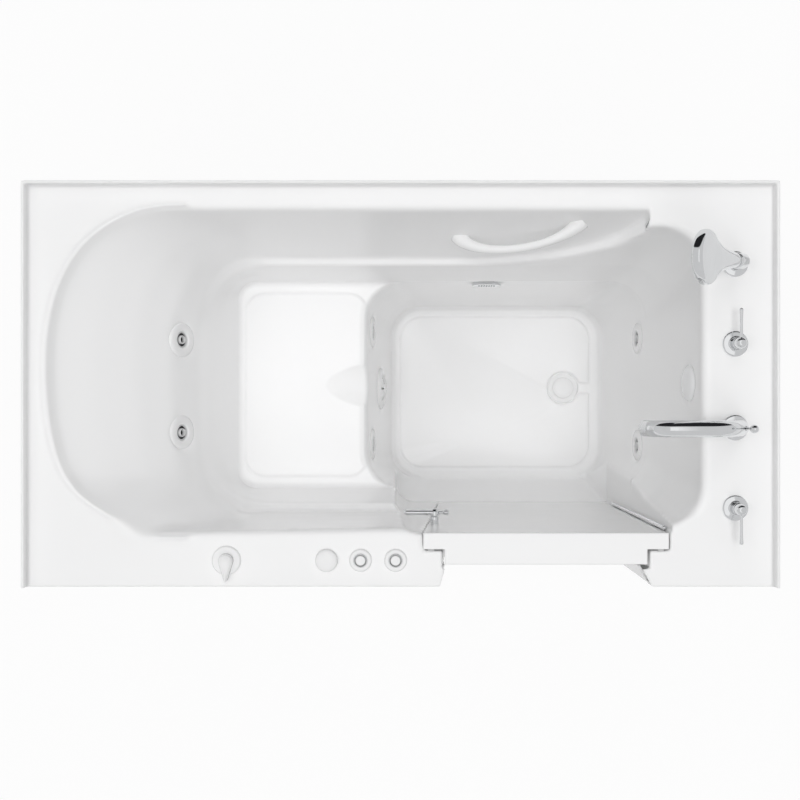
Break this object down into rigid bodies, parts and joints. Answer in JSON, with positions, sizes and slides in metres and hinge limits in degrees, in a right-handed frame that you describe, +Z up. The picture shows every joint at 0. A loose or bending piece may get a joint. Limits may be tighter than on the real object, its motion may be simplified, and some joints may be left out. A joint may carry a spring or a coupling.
{
  "type": "walk-in jetted bathtub",
  "caption": "Walk-in jetted bathtub: moulded seat, deep foot well, inward-opening front door, wall jets, deck taps, hand shower and grab bar, on a steel frame with levelling feet.",
  "frame": {"origin": "on the floor under the middle of the deck's outline", "axes": "+X along the tub from the seat to the taps, +Y to the wall behind, +Z up"},
  "size_m": [1.524, 0.82, 1.1659],
  "materials": {
    "gelcoat": "glossy white gelcoat",
    "white_fitting": "glossy white moulding",
    "clear_lens": "milky light lens",
    "chrome": "polished chrome",
    "jet_nozzle": "white nozzle with a dark throat",
    "seal_rubber": "soft pale seal",
    "frame_steel": "grey painted square tube",
    "plated_steel": "zinc plated",
    "pipe_plastic": "white pipe plastic",
    "pump_plastic": "black moulded plastic",
    "motor_paint": "dark painted motor",
    "board_wood": "plain plywood",
    "brass_shank": "plain brass"
  },
  "bodies": {
    "tub": {"tub_shell": "gelcoat", "front_panel_left": "gelcoat", "front_panel_right": "gelcoat", "access_panel": "gelcoat", "threshold_panel": "gelcoat", "grab_bar": "white_fitting", "suction_cover": "white_fitting", "drain_knob_base": "white_fitting", "air_control_base": "white_fitting", "button_bezels": "white_fitting", "drain_flange": "white_fitting", "jet_escutcheons": "white_fitting", "light_lens": "clear_lens", "jamb_hinge_leaf": "chrome", "hinge_pin": "chrome", "tap_escutcheons": "chrome", "spout": "chrome", "shower_holder": "chrome", "overflow_cover": "chrome", "button_rings": "chrome", "door_seal": "seal_rubber", "long_rails": "frame_steel", "cross_rails": "frame_steel", "uprights": "frame_steel", "seat_bars": "frame_steel", "panel_screws": "plated_steel", "lock_nuts": "plated_steel", "levelling_feet": "plated_steel", "jet_bodies": "pipe_plastic", "suction_body": "pipe_plastic", "suction_pipe": "pipe_plastic", "delivery_pipe": "pipe_plastic", "jet_manifold": "pipe_plastic", "light_housing": "pipe_plastic", "overflow_elbow": "pipe_plastic", "drain_body": "pipe_plastic", "pump_volute": "pump_plastic", "control_box": "pump_plastic", "pump_motor": "motor_paint", "pump_board": "board_wood", "tap_shanks": "brass_shank"},
    "door": {"door_panel": "gelcoat", "door_hinge_leaf": "chrome", "latch_boss": "chrome"},
    "latch": {"latch_lever": "chrome"},
    "upper_tap": {"upper_lever": "chrome"},
    "lower_tap": {"lower_lever": "chrome"},
    "diverter": {"diverter_knob": "chrome"},
    "shower": {"hand_shower": "chrome"},
    "waste_knob": {"drain_knob": "white_fitting"},
    "stopper": {"drain_stopper": "white_fitting"},
    "air_dial": {"air_control_cap": "white_fitting"},
    "jet_button": {"jets_button": "white_fitting"},
    "lamp_button": {"light_button": "white_fitting"},
    "jet_back_upper": {"jet_nozzle_back_upper": "jet_nozzle"},
    "jet_back_lower": {"jet_nozzle_back_lower": "jet_nozzle"},
    "jet_riser_upper": {"jet_nozzle_riser_upper": "jet_nozzle"},
    "jet_riser_lower": {"jet_nozzle_riser_lower": "jet_nozzle"},
    "jet_foot_upper": {"jet_nozzle_foot_upper": "jet_nozzle"},
    "jet_foot_lower": {"jet_nozzle_foot_lower": "jet_nozzle"}
  },
  "joints": [
    {"name": "door_swing", "type": "hinge", "parent": "tub", "child": "door", "pos_m": [0.546, -0.2955, 0.6], "axis": [0, 0, -1], "range_deg": [0, 90]},
    {"name": "latch_turn", "type": "hinge", "parent": "door", "child": "latch", "pos_m": [0.074, -0.2827, 0.77], "axis": [0, 1, 0], "range_deg": [0, 90]},
    {"name": "upper_tap_turn", "type": "hinge", "parent": "tub", "child": "upper_tap", "pos_m": [0.679, 0.083, 0.975], "axis": [0, 0, 1], "range_deg": [0, 90]},
    {"name": "lower_tap_turn", "type": "hinge", "parent": "tub", "child": "lower_tap", "pos_m": [0.679, -0.25, 0.975], "axis": [0, 0, -1], "range_deg": [0, 90]},
    {"name": "diverter_lift", "type": "slide", "parent": "tub", "child": "diverter", "axis": [0, 0, 1], "range_m": [0, 0.012]},
    {"name": "shower_lift", "type": "slide", "parent": "tub", "child": "shower", "axis": [-0.6157, 0, 0.788], "range_m": [0, 0.06]},
    {"name": "waste_knob_turn", "type": "hinge", "parent": "tub", "child": "waste_knob", "pos_m": [-0.353, -0.356, 0.95], "axis": [0, 0, 1], "range_deg": [0, 90]},
    {"name": "stopper_lift", "type": "slide", "parent": "tub", "child": "stopper", "axis": [0, 0, 1], "range_m": [0, 0.008]},
    {"name": "air_dial_turn", "type": "hinge", "parent": "tub", "child": "air_dial", "pos_m": [-0.15, -0.356, 0.945], "axis": [0, 0, 1], "range_deg": [0, 180]},
    {"name": "jet_button_press", "type": "slide", "parent": "tub", "child": "jet_button", "axis": [0, 0, -1], "range_m": [0, 0.003], "stiffness_N_per_m": 300, "springref_m": -0.002},
    {"name": "lamp_button_press", "type": "slide", "parent": "tub", "child": "lamp_button", "axis": [0, 0, -1], "range_m": [0, 0.003], "stiffness_N_per_m": 300, "springref_m": -0.002},
    {"name": "jet_back_upper_turn", "type": "hinge", "parent": "tub", "child": "jet_back_upper", "pos_m": [-0.48181, 0.10201, 0.75345], "axis": [0.8568, 0, 0.5156], "range_deg": [0, 180]},
    {"name": "jet_back_lower_turn", "type": "hinge", "parent": "tub", "child": "jet_back_lower", "pos_m": [-0.48181, -0.10201, 0.75345], "axis": [0.8568, 0, 0.5156], "range_deg": [0, 180]},
    {"name": "jet_riser_upper_turn", "type": "hinge", "parent": "tub", "child": "jet_riser_upper", "pos_m": [-0.0707, 0.13997, 0.43957], "axis": [0.9895, 0, 0.1445], "range_deg": [0, 180]},
    {"name": "jet_riser_lower_turn", "type": "hinge", "parent": "tub", "child": "jet_riser_lower", "pos_m": [-0.0707, -0.13997, 0.43957], "axis": [0.9895, 0, 0.1445], "range_deg": [0, 180]},
    {"name": "jet_foot_upper_turn", "type": "hinge", "parent": "tub", "child": "jet_foot_upper", "pos_m": [0.58151, 0.12104, 0.47778], "axis": [-0.9973, 0, 0.0739], "range_deg": [0, 180]},
    {"name": "jet_foot_lower_turn", "type": "hinge", "parent": "tub", "child": "jet_foot_lower", "pos_m": [0.58151, -0.14104, 0.47778], "axis": [-0.9973, 0, 0.0739], "range_deg": [0, 180]}
  ],
  "couplings": [
    {"joint": "stopper_lift", "follows": "waste_knob_turn", "m_per_rad": 0.00509}
  ]
}
